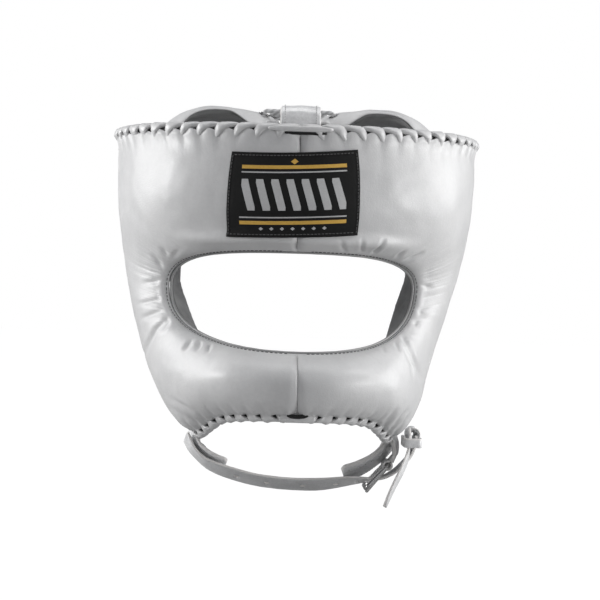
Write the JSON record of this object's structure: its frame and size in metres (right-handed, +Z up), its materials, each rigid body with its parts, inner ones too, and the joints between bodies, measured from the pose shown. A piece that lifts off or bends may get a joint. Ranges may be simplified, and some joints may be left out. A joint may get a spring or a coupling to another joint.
{
  "type": "boxing headguard",
  "caption": "Padded leather headguard with a face bar, laced rims, open crown with flaps and a buckled chin strap, for guarding a boxer's head in training.",
  "frame": {"origin": "centre of the wearer's head at eye level, where the mount head is", "axes": "+X to the right in front view, +Y from the face to the back of the head, +Z up"},
  "size_m": [0.241, 0.2727, 0.2543],
  "materials": {
    "cover_leather": "silver-white pearl leather, semi-gloss, lightly grained",
    "lining_leather": "dark grey soft leather, matt",
    "foam": "closed-cell foam, hidden inside the leather",
    "core_plastic": "stiff core, hidden inside the face bar",
    "welt_leather": "black rolled leather welt",
    "lace_leather": "silver-white flat leather lace",
    "crown_cord": "light woven round lace",
    "label_cloth": "black woven cloth with gold and grey bars",
    "buckle_metal": "polished nickel plate",
    "strap_leather": "silver-white leather with lighter raw cut edges",
    "hook_cloth": "black hook-and-loop tape"
  },
  "bodies": {
    "shell": {"outer_cover_left": "cover_leather", "outer_cover_right": "cover_leather", "lining_left": "lining_leather", "lining_right": "lining_leather", "forehead_foam_left": "foam", "forehead_foam_right": "foam", "cheek_foam_left": "foam", "cheek_foam_right": "foam", "bar_foam": "foam", "face_bar_core": "core_plastic", "eye_piping": "cover_leather", "rim_welt_left": "welt_leather", "rim_welt_right": "welt_leather", "top_lace_left": "lace_leather", "top_lace_right": "lace_leather", "low_welt_left": "welt_leather", "low_welt_right": "welt_leather", "low_lace_left": "lace_leather", "low_lace_right": "lace_leather", "label_patch": "label_cloth", "crown_flap_left": "cover_leather", "crown_flap_right": "cover_leather", "crown_lining_left": "lining_leather", "crown_lining_right": "lining_leather", "crown_lace": "crown_cord", "crown_eyelets": "buckle_metal", "front_loop_strap": "cover_leather", "tab_anchor_left": "strap_leather", "tab_anchor_right": "strap_leather"},
    "rear_left": {"rear_panel_left": "cover_leather", "rear_pad_left": "lining_leather", "closure_anchor": "strap_leather"},
    "rear_right": {"rear_panel_right": "cover_leather", "rear_pad_right": "lining_leather", "loop_pad": "hook_cloth"},
    "closure": {"closure_strap": "strap_leather", "hook_pad": "hook_cloth"},
    "chin_sling": {"chin_tab_left": "strap_leather", "chin_tab_right": "strap_leather", "chin_strap": "strap_leather", "chin_rivets": "buckle_metal", "buckle_chape": "strap_leather"},
    "buckle": {"buckle_frame": "buckle_metal"},
    "tongue": {"buckle_tongue": "buckle_metal"},
    "keeper": {"keeper_loop": "strap_leather"}
  },
  "joints": [
    {"name": "rear_left_flex", "type": "hinge", "parent": "shell", "child": "rear_left", "pos_m": [-0.07069, 0.07693, 0.0695], "axis": [0, 0, 1], "range_deg": [0, 30], "stiffness_Nm_per_rad": 0.3},
    {"name": "rear_right_flex", "type": "hinge", "parent": "shell", "child": "rear_right", "pos_m": [0.07069, 0.07693, 0.0695], "axis": [0, 0, 1], "range_deg": [-30, 0], "stiffness_Nm_per_rad": 0.3},
    {"name": "closure_open", "type": "hinge", "parent": "rear_left", "child": "closure", "pos_m": [-0.01078, 0.11569, 0.0695], "axis": [0, 0, 1], "range_deg": [0, 100]},
    {"name": "chin_swing", "type": "hinge", "parent": "shell", "child": "chin_sling", "pos_m": [0, -0.0375, -0.068], "axis": [1, 0, 0], "range_deg": [0, 15], "stiffness_Nm_per_rad": 0.5},
    {"name": "buckle_tilt", "type": "hinge", "parent": "chin_sling", "child": "buckle", "pos_m": [0.0626, -0.048, -0.1037], "axis": [0, 1, 0], "range_deg": [-3, 0]},
    {"name": "tongue_tilt", "type": "hinge", "parent": "buckle", "child": "tongue", "pos_m": [0.0626, -0.048, -0.1037], "axis": [0, 1, 0], "range_deg": [-4, 0]},
    {"name": "keeper_slide", "type": "slide", "parent": "chin_sling", "child": "keeper", "axis": [0, 0, 1], "range_m": [-0.002, 0.003]}
  ],
  "couplings": [
    {"joint": "rear_right_flex", "follows": "rear_left_flex", "ratio": -1}
  ]
}
